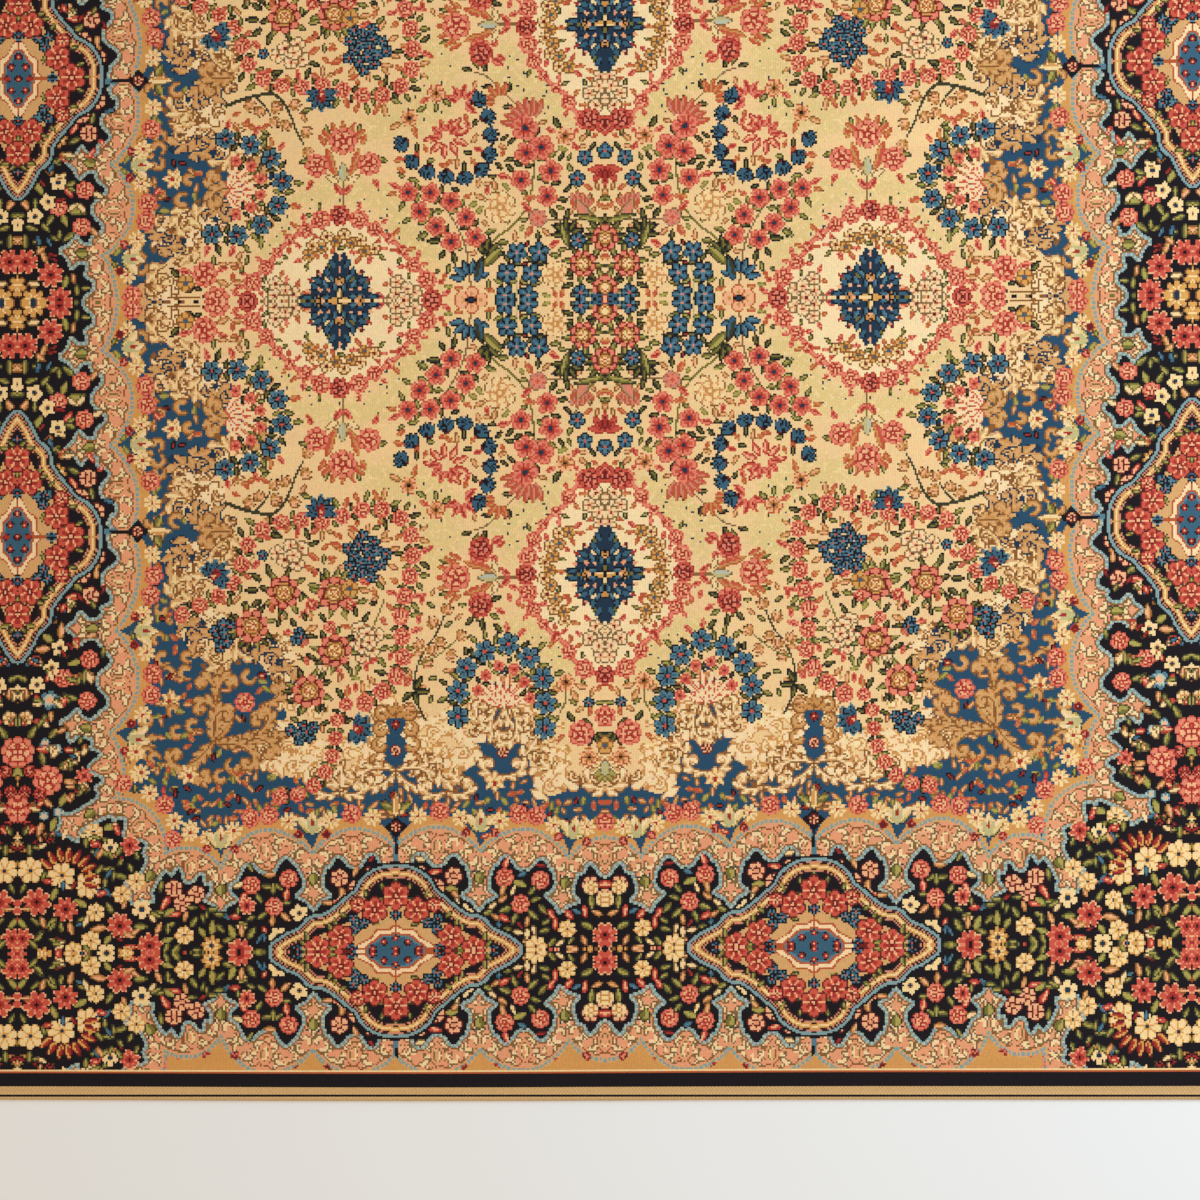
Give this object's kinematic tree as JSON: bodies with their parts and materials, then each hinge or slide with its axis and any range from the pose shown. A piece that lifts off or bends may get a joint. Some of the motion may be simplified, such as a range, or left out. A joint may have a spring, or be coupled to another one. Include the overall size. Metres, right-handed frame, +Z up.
{
  "type": "persian rug",
  "caption": "Hand-knotted wool floor rug, rectangular and flat, with a floral medallion field, broad navy border, overcast side cords and flat-woven ends.",
  "frame": {"origin": "under the middle of the rug, on the floor it lies on", "axes": "+X across the rug, +Y along its warps to the far end, +Z up out of the pile"},
  "size_m": [1.4658, 1.6054, 0.008],
  "materials": {
    "pile": "matt knotted wool pile in many colours",
    "side_cord": "matt overcast wool"
  },
  "bodies": {
    "root": {"rug": "pile", "side_cord_left": "side_cord", "side_cord_right": "side_cord"}
  },
  "joints": []
}
